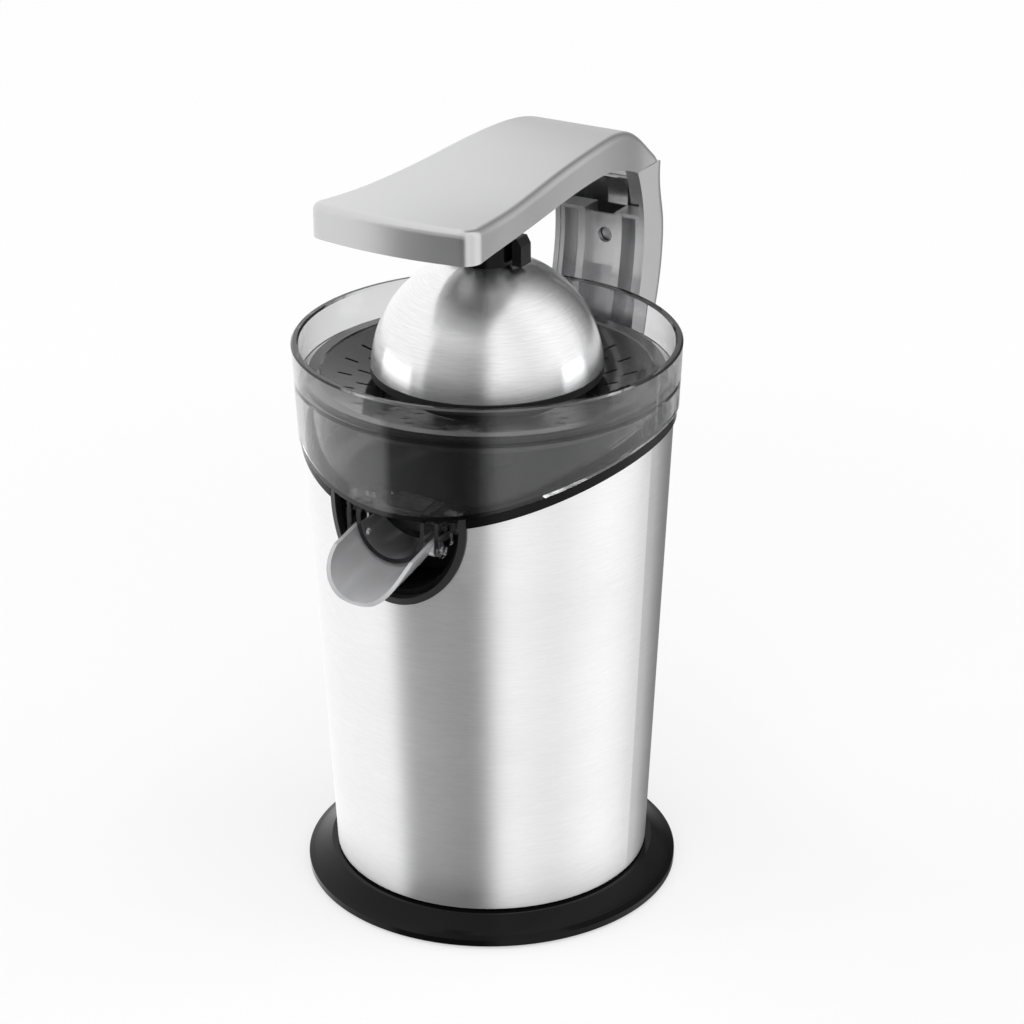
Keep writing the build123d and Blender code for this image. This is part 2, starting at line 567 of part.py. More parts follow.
# ---- spout: an open trough that tilts on two pins of the container ------------------------------
spout_over = Pos(0, 0, spout_in) * Rot(90, 0, 0) * Cylinder(SPOUT_R, 100)
spout_hollow = Pos(0, 0, spout_in) * Rot(90, 0, 0) * Cylinder(spout_in, 110)
nose_start, nose_end = (SPOUT_LIP, 0), (SPOUT_RIM, SPOUT_DEPTH)
nose_bow = 2.5
nose_turn = atan2(SPOUT_DEPTH, SPOUT_RIM - SPOUT_LIP)
nose_mid = ((SPOUT_LIP + SPOUT_RIM) / 2 - nose_bow * sin(nose_turn),
            SPOUT_DEPTH / 2 + nose_bow * cos(nose_turn))
rear_dip = 3.0
spout_side = [ThreePointArc(nose_start, nose_mid, nose_end), Line(nose_end, (6.0, SPOUT_DEPTH)),
              Line((6.0, SPOUT_DEPTH), (SPOUT_REAR, SPOUT_DEPTH - rear_dip)),
              Line((SPOUT_REAR, SPOUT_DEPTH - rear_dip), (SPOUT_REAR, -5)),
              Line((SPOUT_REAR, -5), (SPOUT_LIP, -5)), Line((SPOUT_LIP, -5), nose_start)]
spout = spout_frame * ((spout_over - spout_hollow) & side_slab(spout_side, 40))
for side in (-1, 1):
    x0, x1 = sorted((side * (pin_x0 + 0.6), side * (SPOUT_R - 0.2)))
    boss = rod_x(3.4, x0, x1, SPOUT_PIN_Y, SPOUT_PIN_Z)
    spout += boss - spout_frame * spout_hollow
spout -= rod_x(SPOUT_PIN_R + RUN, -30, 30, SPOUT_PIN_Y, SPOUT_PIN_Z)
parts["spout"] = spout

# ---- sieve -------------------------------------------------------------------------------------
sieve_z = LEDGE_Z + 1.8
cone_top = sieve_z - 0.8
cone_low = 236.0
cone_r = 34.0
collar_out = 29.6
collar_z = 224.0
sieve = turned([(SIEVE_R, LEDGE_Z), (SIEVE_R, sieve_z), (SIEVE_RING_R, sieve_z),
                (SIEVE_RING_R - 0.6, cone_top), (cone_r, cone_low), (collar_out, cone_low),
                (collar_out - SIEVE_T, cone_low - 1), (collar_out - SIEVE_T, collar_z),
                (TOWER_R + 1.5, collar_z), (TOWER_R + 1.5, collar_z - SIEVE_T),
                (collar_out, collar_z - SIEVE_T), (collar_out, cone_low - SIEVE_T),
                (cone_r, cone_low - SIEVE_T), (SIEVE_RING_R - 2.2, cone_top - 2.0),
                (SIEVE_RING_R - 2.2, 237), (SIEVE_RING_R - 0.6, 237), (SIEVE_RING_R - 0.6, LEDGE_Z)])
slots = []
for i in range(SLOT_COUNT):
    turn = Rot(0, 0, 360 * i / SLOT_COUNT)
    half_turn = Rot(0, 0, 360 * (i + 0.5) / SLOT_COUNT)
    for row_turn, row_r in ((turn, SLOT_ROWS[0]), (half_turn, SLOT_ROWS[1]), (turn, SLOT_ROWS[2])):
        slot = block(row_r, row_r + SLOT_L, -SLOT_W / 2, SLOT_W / 2, 232, 250)
        slots.append(row_turn * slot)
parts["sieve"] = sieve - slots

# ---- reamer ------------------------------------------------------------------------------------
ogive = [(REAMER_R, REAMER_Z0 + 1.6), (33.2, REAMER_Z0 + 11), (26.8, REAMER_Z0 + 22.5),
         (16.5, REAMER_Z0 + 33.0), (6.0, REAMER_Z0 + 38.6), (0, REAMER_Z0 + REAMER_H)]


def reamer_form(grow):
    """Ogive body of revolution, grown sideways by a margin and closed at the bottom."""
    points = [(max(r + grow, 0), z + grow * 0.5 * (z - REAMER_Z0) / REAMER_H) for r, z in ogive]
    points[-1] = (0, points[-1][1])
    low = (points[0][0], REAMER_Z0)
    edges = [Line((0, REAMER_Z0), low), Line(low, points[0]), Spline(*points),
             Line(points[-1], (0, REAMER_Z0))]
    return revolve(Face(Wire([Plane.XZ * edge for edge in edges])), axis=Axis.Z)


reamer = reamer_form(0)
fin_form = reamer_form(2.4)
for i in range(RIB_COUNT):
    wedge = Polyline((0, -1.7), (44, -0.5), (44, 0.5), (0, 1.7), close=True)
    fin = extrude(make_face(wedge), amount=60)
    reamer += (Pos(0, 0, REAMER_Z0) * Rot(0, 0, 360 * i / RIB_COUNT) * fin) & fin_form
reamer -= Pos(0, 0, -0.01) * reamer_form(-REAMER_WALL)
reamer += tube(8.5, 0, REAMER_Z0, REAMER_Z0 + REAMER_H - 1) & reamer_form(0)
socket = SQUARE / 2 + 0.08
reamer -= block(-socket, socket, -socket, socket, REAMER_Z0 - 1, SHAFT_Z1 + 0.4)
reamer -= tube(SHAFT_R + 0.2, 0, REAMER_Z0 - 1, square_z + 0.1)
parts["reamer"] = reamer

# ---- press dome --------------------------------------------------------------------------------
dome_at = Pos(0, 0, DOME_CENTRE_Z)
neck_r = 7.8
dome = dome_at * Sphere(DOME_R) - dome_at * Sphere(DOME_R - DOME_T)
dome -= tube(DOME_R + 5, 0, DOME_CENTRE_Z - DOME_R - 5, DOME_EDGE_Z)
dome -= tube(neck_r + SEAT, 0, DOME_CENTRE_Z, CAP_Z)
parts["press_dome"] = dome
liner_r = DOME_R - DOME_T - SEAT
liner = dome_at * Sphere(liner_r)
liner -= tube(DOME_R + 5, 0, DOME_CENTRE_Z - DOME_R - 5, DOME_EDGE_Z - 0.1)
liner += tube(DOME_R + 0.2, 0, LINER_EDGE_Z, DOME_EDGE_Z - 0.1)
hollow = dome_at * Sphere(liner_r - LINER_T)
liner -= hollow
grips = dome_at * Sphere(liner_r - LINER_T + 0.2) - dome_at * Sphere(liner_r - LINER_T - 3.0)
grips -= tube(DOME_R + 5, 0, DOME_CENTRE_Z - DOME_R - 5, LINER_EDGE_Z + 1.5)
for i in range(6):
    fin = Rot(0, 0, 60 * i) * block(22, 60, -1.5, 1.5, LINER_EDGE_Z, CAP_Z)
    liner += grips & fin
liner -= tube(neck_r + SEAT, 0, DOME_CENTRE_Z, CAP_Z)
parts["dome_liner"] = liner
neck_low = 294.6
slot_floor = DOME_PIN_Z - 5.8
cap = tube(CAP_R, 0, DOME_CENTRE_Z + DOME_R - 8, CAP_Z)
cap -= dome_at * Sphere(DOME_R + SEAT / 2)
cap += tube(neck_r, 0, neck_low, slot_floor)
cap -= block(-YOKE_HALF_W - 0.3, YOKE_HALF_W + 0.3, -20, 20, slot_floor, CAP_Z + 1)
cap -= rod_x(DOME_PIN_R, -CAP_R + 1.2, CAP_R - 1.2, 0, DOME_PIN_Z)
guide_r = 1.5
guide_z = DOME_PIN_Z - 4.9
cap -= rod_x(guide_r + RUN, -20, -6.2, 0, guide_z) + rod_x(guide_r + RUN, 6.2, 20, 0, guide_z)
cap -= tube(2.05, 0, neck_low - 1, slot_floor - 1)
parts["dome_cap"] = chamfer(cap.edges().filter_by(GeomType.CIRCLE).group_by(Axis.Z)[-1], 0.8)
parts["dome_pin"] = rod_x(DOME_PIN_R, -CAP_R + 1.3, CAP_R - 1.3, 0, DOME_PIN_Z)
dome_screw = tube(10.0, 0, neck_low - 1.8, neck_low) + tube(2.0, 0, neck_low - 1, slot_floor - 1.2)
parts["dome_screw"] = dome_screw - block(-3, 3, -0.6, 0.6, neck_low - 2, neck_low - 1)
for name, side in (("release_left", -1), ("release_right", 1)):
    outline = [(15.5, 297.6), (20.0, 297.6), (20.0, 306.6), (18.0, 310.0), (15.5, 310.0)]
    tab = extrude(Plane.XZ * make_face(Polyline(*outline, close=True)), amount=4.2, both=True)
    tab += rod_x(guide_r, 8.0, 16.0, 0, guide_z)
    parts[name] = tab if side > 0 else mirror(tab, about=Plane.YZ)

# ---- lever -------------------------------------------------------------------------------------
def lever_plan(inset_by):
    """The lever's outline seen from above, drawn in by a margin."""
    side = inset(LEVER_PLAN, inset_by)
    tip_y = LEVER_PLAN[0][0] + inset_by
    side[0] = (tip_y, side[0][1])
    right = Spline(*[(w, y) for y, w in side])
    left = mirror(right, about=Plane.YZ)
    front = ThreePointArc(left @ 0, (0, tip_y - LEVER_BULGE), right @ 0)
    face = make_face([front, right, Line(right @ 1, left @ 1), left])
    face = fillet(face.vertices().group_by(Axis.Y)[-1], LEVER_REAR_R - inset_by)
    return fillet(face.vertices().group_by(Axis.Y)[0], LEVER_FRONT_R - inset_by)


def below_top(drop):
    """Everything below the lever's upper outline, lowered by drop."""
    top = inset(LEVER_TOP, drop)
    return side_slab([Line((-90, top[0][1]), top[0]), Spline(*top), Line(top[-1], (top[-1][0], 250)),
                      Line((top[-1][0], 250), (-90, 250)), Line((-90, 250), (-90, top[0][1]))], 60)


def above_under(lift):
    """Everything above the lever's lower outline, raised by lift."""
    under = [(y, z + lift) for y, z in LEVER_UNDER]
    return side_slab([Line((-90, under[0][1]), under[0]), Spline(*under),
                      Line(under[-1], (130, under[-1][1])), Line((130, under[-1][1]), (130, 360)),
                      Line((130, 360), (-90, 360)), Line((-90, 360), (-90, under[0][1]))], 60)


def lever_form(plan_inset, top_drop, under_lift):
    """The lever's volume, drawn in by a margin on each face."""
    prism = extrude(lever_plan(plan_inset), amount=80)
    return (Pos(0, 0, 280) * prism) & below_top(top_drop) & above_under(under_lift)


lever_body = lever_form(0, 0, 0)
top_face = lever_body.faces().sort_by(SortBy.AREA)[-1]
rim_edges = [edge for edge in top_face.edges() if edge.center().Z > LEVER_PART_Z + 1]
lever_body = fillet(rim_edges, LEVER_EDGE_R)
cover_play = SEAT
cover_t = 2.0
lever_hollow = lever_form(LEVER_SKIN, LEVER_SKIN, -12)
parts["lever_top"] = lever_body - lever_hollow
lever_cover = lever_form(LEVER_SKIN + cover_play, LEVER_SKIN + cover_play, 0)
lever_cover -= lever_form(-1, -1, cover_t)
hub_neck_y0, hub_neck_y1 = 105.5, 109.5
hub_x = 16.0
lever_cover -= block(-hub_x - SEAT, hub_x + SEAT, hub_neck_y0 - SEAT, hub_neck_y1 + SEAT, 305, 330)
yoke_y = 8.0
yoke_plate_z = 327.0
lever_cover -= block(-YOKE_HALF_W - SEAT, YOKE_HALF_W + SEAT, -yoke_y - SEAT, yoke_y + SEAT, 320, 330)
front_spots = [(-22.0, -38.0), (22.0, -38.0)]
rear_spots = [(-16.0, 36.0), (16.0, 36.0)]
for x, y in front_spots + rear_spots:
    lever_cover -= tube(1.7, 0, 320, 330, x, y)
    post = tube(3.4, 0, 327.6, 345, x, y) - tube(1.5, 0, 320, 335, x, y)
    parts["lever_top"] += post & lever_form(1, 1, -12)
yoke_spots = [(-11.0, 0.0), (11.0, 0.0)]
hub_spots = [(-10.0, 101.0), (10.0, 101.0)]
for x, y in yoke_spots + hub_spots:
    lever_cover -= tube(1.3, 0, 310, 330, x, y)
parts["lever_cover"] = lever_cover
parts["lever_screws"] = screws(front_spots, 2.8, 1.0, 1.4, 322.6, 9.0)
parts["lever_screws"] += screws(rear_spots, 2.8, 1.0, 1.4, 324.1, 9.0)
yoke = block(-YOKE_HALF_W, YOKE_HALF_W, -yoke_y, yoke_y, DOME_PIN_Z, yoke_plate_z + 0.4)
yoke += rod_x(5.2, -YOKE_HALF_W, YOKE_HALF_W, 0, DOME_PIN_Z)
yoke -= block(-10, 10, -20, -5.2, DOME_PIN_Z - 8, DOME_PIN_Z + 6)
yoke -= block(-10, 10, 5.2, 20, DOME_PIN_Z - 8, DOME_PIN_Z + 6)
yoke += block(-15, 15, -yoke_y, yoke_y, yoke_plate_z, yoke_plate_z + 2.4)
yoke -= rod_x(DOME_PIN_R + RUN, -10, 10, 0, DOME_PIN_Z)
for x, y in yoke_spots:
    yoke -= tube(1.3, 0, 320, 335, x, y)
parts["lever_yoke"] = yoke
hub_plate_z = LEVER_PART_Z + cover_t + 0.1
hub = rod_x(BARREL_R, -BARREL_HALF_W, BARREL_HALF_W, HINGE_Y, HINGE_Z)
hub += block(-hub_x, hub_x, hub_neck_y0, 113.0, HINGE_Z, LEVER_PART_Z - 0.2)
hub += block(-hub_x, hub_x, hub_neck_y0, hub_neck_y1, HINGE_Z, hub_plate_z + 1)
hub += block(-hub_x, hub_x, 97.0, hub_neck_y1 - 1, hub_plate_z, hub_plate_z + 2.0)
hub = hub & (lever_form(LEVER_SKIN + 0.3, LEVER_SKIN + 0.3, -40) + block(-30, 30, 90, 125, 280, 313.3))
tongue_y, tongue_z = 106.0, 291.0
tongue = rod_x(15.2, -5.2, 5.2, tongue_y, tongue_z) - rod_x(13.0, -10, 10, tongue_y, tongue_z)
wedge = Polyline((0, 0), (20, -5.36), (30, 20), (6.5, 24.3), close=True)
tongue = tongue & (Pos(0, tongue_y, tongue_z) * extrude(Plane.YZ * make_face(wedge), amount=6,
                                                        both=True))
hub += tongue
hub -= rod_x(HINGE_PIN_R + RUN, -30, 30, HINGE_Y, HINGE_Z)
spring_x0, spring_x1 = 8.0, 15.0
hub -= rod_x(4.4, spring_x0 - 0.3, spring_x1 + 0.3, HINGE_Y, HINGE_Z)
for x, y in hub_spots:
    hub -= tube(1.3, 0, 310, 325, x, y)
parts["lever_hub"] = hub
yoke_top = yoke_plate_z + 2.4
hub_top_z = hub_plate_z + 2.0
inner_screws = screws(yoke_spots, 2.4, 1.2, 1.2, yoke_top + 1.2, 3.8, up=False)
inner_screws += screws(hub_spots, 2.4, 1.2, 1.2, hub_top_z + 1.2, 3.2, up=False)
parts["lever_inner_screws"] = inner_screws
hinge_coil = coil(3.4, 0.9, spring_x0, spring_x1, 6)
parts["hinge_spring"] = Pos(0, HINGE_Y, HINGE_Z) * Rot(0, 90, 0) * hinge_coil
parts["hinge_pin"] = rod_x(HINGE_PIN_R, -21.0, 21.0, HINGE_Y, HINGE_Z)

# ---- column ------------------------------------------------------------------------------------
ear_top = HINGE_Z + NOSE_R
nose_mid = (HINGE_Y + NOSE_R * sin(radians(45)), HINGE_Z + NOSE_R * cos(radians(45)))
column_low = (70.0, COLUMN_BACK[-1][1])
front_top = (COLUMN_FRONT[0][0], ear_top)
column_edges = [Spline(front_top, *COLUMN_FRONT[1:]), Line(COLUMN_FRONT[-1], (80.0, 205.0)),
                Line((80.0, 205.0), column_low), Line(column_low, COLUMN_BACK[-1]),
                Spline(*COLUMN_BACK[::-1]), Line(COLUMN_BACK[0], (HINGE_Y + NOSE_R, HINGE_Z)),
                ThreePointArc((HINGE_Y + NOSE_R, HINGE_Z), nose_mid, (HINGE_Y, ear_top)),
                Line((HINGE_Y, ear_top), front_top)]
column = side_slab(column_edges, COLUMN_HALF_W)
back_faces = [f for f in column.faces() if f.center().Y > 100 and f.center().Z < 300
              and abs(f.center().X) < 1 and f.normal_at().Y > 0.3]
back_edges = [e for e in back_faces[0].edges() if abs(abs(e.center().X) - COLUMN_HALF_W) < 0.01]
column_edge_r = 8.5
column = fillet(back_edges, column_edge_r)
corner_x, corner_y = COLUMN_HALF_W - column_edge_r, COLUMN_BACK[0][0] - column_edge_r
for side in (-1, 1):
    x0, x1 = sorted((side * corner_x, side * (COLUMN_HALF_W + 5)))
    corner = block(x0, x1, corner_y, corner_y + 20, COLUMN_BACK[0][1], ear_top + 5)
    column -= corner - tube(column_edge_r, 0, COLUMN_BACK[0][1] - 1, ear_top + 6, side * corner_x, corner_y)
saddle_gap = 1.2
rear_y = SKIN_R1
rear_seam = SEAM_Z - SEAM_R + sqrt(SEAM_R ** 2 - (rear_y - SEAM_Y) ** 2)
collar_rear = rear_seam - COLLAR_H
saddle = turned([(0, 130), (skin_r(130) + SEAT, 130), (skin_r(collar_rear) + SEAT, collar_rear),
                 (skin_r(collar_rear) + COLLAR_PROUD + SEAT, collar_rear),
                 (skin_r(rear_seam) + COLLAR_PROUD + SEAT, rear_seam),
                 (jar_r(rear_seam) + saddle_gap, rear_seam),
                 (jar_r(RIM_Z) + saddle_gap, RIM_Z), (0, RIM_Z)])
pocket_low = 206.0
pocket_in = COLUMN_HALF_W - COLUMN_WALL


def pocket_slab(wall, half_width):
    """Space inside the column, open to the front, with a back wall of the given thickness."""
    back = [p for p in inset(COLUMN_BACK, wall) if p[1] > pocket_low + 4]
    top = (back[0][0], ear_top + 5)
    low = (back[-1][0] - 5, pocket_low)
    return side_slab([Line((60, ear_top + 5), top), Line(top, back[0]), Spline(*back),
                      Line(back[-1], low), Line(low, (60, pocket_low)),
                      Line((60, pocket_low), (60, ear_top + 5))], half_width)


pocket = pocket_slab(COLUMN_WALL, 17.0) + pocket_slab(8.0, pocket_in)
ear_in = BARREL_HALF_W + 0.3
ears_z = 300.5
ears_low = 296.0
keep = block(ear_in, 40, 60, 130, ears_low, 330) + block(-40, -ear_in, 60, 130, ears_low, 330)
column -= pocket - keep
column -= block(-ear_in, ear_in, 60, 140, ears_z, 330)
column -= saddle
column -= rod_x(HINGE_PIN_R + 0.01, -21.1, 21.1, HINGE_Y, HINGE_Z)
for z in column_screw_zs:
    column -= rod_y(1.9, 60, skin_r(z) + 7, 0, z)
parts["column"] = column
groups = []
for z in column_screw_zs:
    head_y = skin_r(z) - chassis_gap - chassis_t - 0.2
    groups.append(rod_y(3.4, head_y - 2.0, head_y, 0, z) + rod_y(1.8, head_y - 1, skin_r(z) + 6, 0, z))
parts["column_screws"] = groups

# ---- ribbed frame in the column's front --------------------------------------------------------
frame_x = pocket_in - SEAT
frame_t = 12.5
frame_low = 226.0


def front_slab(depth0, depth1, z0, z1, x0, x1):
    """Strip that follows the column's front, between two depths behind it."""
    outer = [(y + depth0, z) for y, z in COLUMN_FRONT]
    inner = [(y + depth1, z) for y, z in COLUMN_FRONT]
    strip = side_slab([Spline(*outer), Line(outer[-1], inner[-1]), Spline(*inner[::-1]),
                       Line(inner[0], outer[0])], 60)
    return strip & block(x0, x1, 60, 140, z0, z1)


side_t = 2.3
frame = front_slab(0.4, frame_t, frame_low, COLUMN_SHOULDER_Z, frame_x - side_t, frame_x)
frame += front_slab(0.4, frame_t, frame_low, COLUMN_SHOULDER_Z, -frame_x, -frame_x + side_t)
frame += front_slab(0.4, frame_t, frame_low, COLUMN_SHOULDER_Z, RIB_X0, RIB_X1)
frame += front_slab(0.4, frame_t, frame_low, COLUMN_SHOULDER_Z, -RIB_X1, -RIB_X0)
bar_t = 1.8
for z in (COLUMN_SHOULDER_Z, frame_low + bar_t):
    for side in (-1, 1):
        x0, x1 = sorted((side * (RIB_X0 + 1), side * (frame_x - 0.5)))
        frame += front_slab(0.8, frame_t, z - bar_t, z, x0, x1)
plate_d = 5.4
plate_z0, plate_z1 = 262.0, 286.0
frame += front_slab(plate_d, plate_d + 2.0, plate_z0, plate_z1, -RIB_X0 - 1, RIB_X0 + 1)
frame += front_slab(frame_t - 2.0, frame_t, frame_low, plate_z0 + 2, -frame_x + 0.5, frame_x - 0.5)
for side in (-1, 1):
    x0, x1 = sorted((side * (RIB_X0 + 1), side * (frame_x - 0.5)))
    frame += front_slab(frame_t - 2.0, frame_t, plate_z0 + 1, COLUMN_SHOULDER_Z, x0, x1)
frame_screw_z = 276.0
front_y = 101.2       # the column's front at the screw
well_floor = front_y + plate_d + 5.0
head_r = 3.2
frame += rod_y(head_r + 2.0, front_y + plate_d + 1, well_floor + 2, 0, frame_screw_z)
frame -= rod_y(head_r + 0.4, front_y, well_floor, 0, frame_screw_z)
frame -= rod_y(1.8, well_floor - 1, well_floor + 3, 0, frame_screw_z)
parts["column_frame"] = frame
screw_end = 121.5
parts["frame_screw"] = rod_y(head_r, well_floor - 1.8, well_floor, 0, frame_screw_z) \
    + rod_y(1.5, well_floor - 1, screw_end, 0, frame_screw_z)
column_post = rod_y(3.4, well_floor + 2.0 + SEAT, 125.0, 0, frame_screw_z)
column_post = column_post & side_slab(column_edges, pocket_in)
column_post -= rod_y(1.52, 90, screw_end + 0.2, 0, frame_screw_z)
parts["column"] = parts["column"] + column_post


# ---- export ------------------------------------------------------------------------------------
for name, solid in parts.items():
    if isinstance(solid, list):
        solid = Compound(children=[piece for piece in solid])
    solid.label = name
    export_step(solid, f"parts/{name}.step")
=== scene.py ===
import json
import math

import bpy
from mathutils import Matrix, Vector

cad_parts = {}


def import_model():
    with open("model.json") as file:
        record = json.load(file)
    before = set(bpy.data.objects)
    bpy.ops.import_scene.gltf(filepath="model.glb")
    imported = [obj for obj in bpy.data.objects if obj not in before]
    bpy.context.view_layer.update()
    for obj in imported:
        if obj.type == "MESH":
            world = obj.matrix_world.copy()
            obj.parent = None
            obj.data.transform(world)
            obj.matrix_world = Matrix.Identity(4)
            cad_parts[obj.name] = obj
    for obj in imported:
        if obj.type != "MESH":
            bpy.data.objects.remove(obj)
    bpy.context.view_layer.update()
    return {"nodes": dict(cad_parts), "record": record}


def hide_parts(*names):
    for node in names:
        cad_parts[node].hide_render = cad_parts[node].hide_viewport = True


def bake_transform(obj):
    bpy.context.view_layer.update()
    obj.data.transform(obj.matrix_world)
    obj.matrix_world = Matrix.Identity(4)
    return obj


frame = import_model()
nodes = frame["nodes"]
scene = bpy.context.scene
scene.view_settings.view_transform = "Standard"

WHITE = (1, 1, 1, 1)
COAT_ROUGHNESS = 0.06
# Noise scales of the slow changes in tone and gloss, on plastic and on metal.
UNEVEN_SCALE = 18
CLOUD_SCALE = 14
# Bump strengths of a moulded grain and of brushing.
GRAIN_STRENGTH = 0.25
BRUSHED_STRENGTH = 0.3
# Streaks' part in a brushed metal's gloss; clouds take the rest.
STREAK_SHARE = 0.7
# Anisotropic rotation that lays the brushing round the Z axis, as a part of a full turn.
ROUND_Z = 0.25
# What smoked plastic lets through at depth.
SMOKE_DEPTH = (0.5, 0.5, 0.51, 1)


# ---- materials ----------------------------------------------------------------------------------
def material(name, color, rough, metal=0.0, coat=0.0, transmission=0.0, ior=1.5, aniso=0.0,
             specular=0.5):
    """Material with its even values set on the shader's own sockets."""
    mat = bpy.data.materials.new(name)
    mat.use_nodes = True
    bsdf = mat.node_tree.nodes["Principled BSDF"]
    bsdf.inputs["Base Color"].default_value = (*color, 1)
    bsdf.inputs["Roughness"].default_value = rough
    bsdf.inputs["Metallic"].default_value = metal
    bsdf.inputs["Coat Weight"].default_value = coat
    bsdf.inputs["Coat Roughness"].default_value = COAT_ROUGHNESS
    bsdf.inputs["Transmission Weight"].default_value = transmission
    bsdf.inputs["IOR"].default_value = ior
    bsdf.inputs["Anisotropic"].default_value = aniso
    bsdf.inputs["Specular IOR Level"].default_value = specular
    return mat, mat.node_tree, bsdf


def add(tree, kind, **values):
    """New node, with values set on its inputs or else on the node."""
    node = tree.nodes.new(kind)
    for key, value in values.items():
        if key in node.inputs:
            node.inputs[key].default_value = value
        else:
            setattr(node, key, value)
    return node


def noise(tree, scale, stretch=(1, 1, 1), detail=4.0, roughness=0.6, turned=0.0):
    """Noise in object coordinates, stretched along an axis. turned draws it out round the Z axis."""
    coord = add(tree, "ShaderNodeTexCoord")
    mapping = add(tree, "ShaderNodeMapping")
    mapping.inputs["Scale"].default_value = stretch
    tree.links.new(coord.outputs["Object"], mapping.inputs["Vector"])
    tex = add(tree, "ShaderNodeTexNoise", noise_dimensions="4D" if turned else "3D",
              Scale=scale, Detail=detail, Roughness=roughness)
    tree.links.new(mapping.outputs["Vector"], tex.inputs["Vector"])
    if turned:
        flat = add(tree, "ShaderNodeVectorMath", operation="MULTIPLY")
        flat.inputs[1].default_value = (turned, turned, 0)
        tree.links.new(coord.outputs["Object"], flat.inputs[0])
        reach = add(tree, "ShaderNodeVectorMath", operation="LENGTH")
        tree.links.new(flat.outputs["Vector"], reach.inputs[0])
        tree.links.new(reach.outputs["Value"], tex.inputs["W"])
    return tex


def ramp(tree, source, low, high, start=0.3, end=0.7):
    """Maps a texture to a range of values."""
    node = add(tree, "ShaderNodeMapRange")
    for socket, level in (("From Min", start), ("From Max", end), ("To Min", low), ("To Max", high)):
        node.inputs[socket].default_value = level
    tree.links.new(source, node.inputs["Value"])
    return node.outputs["Result"]


def tint(tree, source, a, b, start=0.3, end=0.7):
    """Mixes two colours by a texture."""
    mix = add(tree, "ShaderNodeMix", data_type="RGBA")
    tree.links.new(ramp(tree, source, 0, 1, start, end), mix.inputs["Factor"])
    for socket in mix.inputs:
        if socket.type == "RGBA":
            socket.default_value = (*(a if socket.name == "A" else b), 1)
    return next(o for o in mix.outputs if o.type == "RGBA")


def bump(tree, bsdf, source, strength, distance):
    """Raises the surface by a texture."""
    node = add(tree, "ShaderNodeBump")
    node.inputs["Strength"].default_value = strength
    node.inputs["Distance"].default_value = distance
    tree.links.new(source, node.inputs["Height"])
    tree.links.new(node.outputs["Normal"], bsdf.inputs["Normal"])


def moulded(name, color, rough, grain=900, depth=0.00002, coat=0.0, spread=0.12, metal=0.0,
            **more):
    """Plastic or paint with a fine grain and slight unevenness of tone and gloss."""
    mat, tree, bsdf = material(name, color, rough, metal, coat, **more)
    soft = noise(tree, UNEVEN_SCALE, detail=3)
    fine = noise(tree, grain, detail=2)
    lighter = tuple(min(1, c * (1 + spread)) for c in color)
    darker = tuple(c * (1 - spread) for c in color)
    tree.links.new(tint(tree, soft.outputs["Fac"], darker, lighter), bsdf.inputs["Base Color"])
    tree.links.new(ramp(tree, soft.outputs["Fac"], rough * 0.9, rough * 1.12),
                   bsdf.inputs["Roughness"])
    bump(tree, bsdf, fine.outputs["Fac"], GRAIN_STRENGTH, depth)
    return mat


def brushed(name, color, rough, stretch, scale=260, depth=0.00001, spread=0.05, aniso=0.0,
            turned=0.0):
    """Metal brushed in one direction: long streaks in tone, gloss and height."""
    mat, tree, bsdf = material(name, color, rough, 1.0, aniso=aniso)
    bsdf.inputs["Anisotropic Rotation"].default_value = ROUND_Z if aniso else 0.0
    streak = noise(tree, scale, stretch, detail=6, roughness=0.7, turned=turned)
    cloud = noise(tree, CLOUD_SCALE, (1, 1, 2.5), detail=3)
    lighter = tuple(min(1, c * (1 + spread)) for c in color)
    darker = tuple(c * (1 - spread) for c in color)
    tree.links.new(tint(tree, streak.outputs["Fac"], darker, lighter), bsdf.inputs["Base Color"])
    both = add(tree, "ShaderNodeMath", operation="MULTIPLY_ADD")
    tree.links.new(streak.outputs["Fac"], both.inputs[0])
    both.inputs[1].default_value = STREAK_SHARE
    tree.links.new(ramp(tree, cloud.outputs["Fac"], 0.0, 1 - STREAK_SHARE), both.inputs[2])
    tree.links.new(ramp(tree, both.outputs["Value"], rough * 0.85, rough * 1.2, 0.2, 0.9),
                   bsdf.inputs["Roughness"])
    bump(tree, bsdf, streak.outputs["Fac"], BRUSHED_STRENGTH, depth)
    return mat


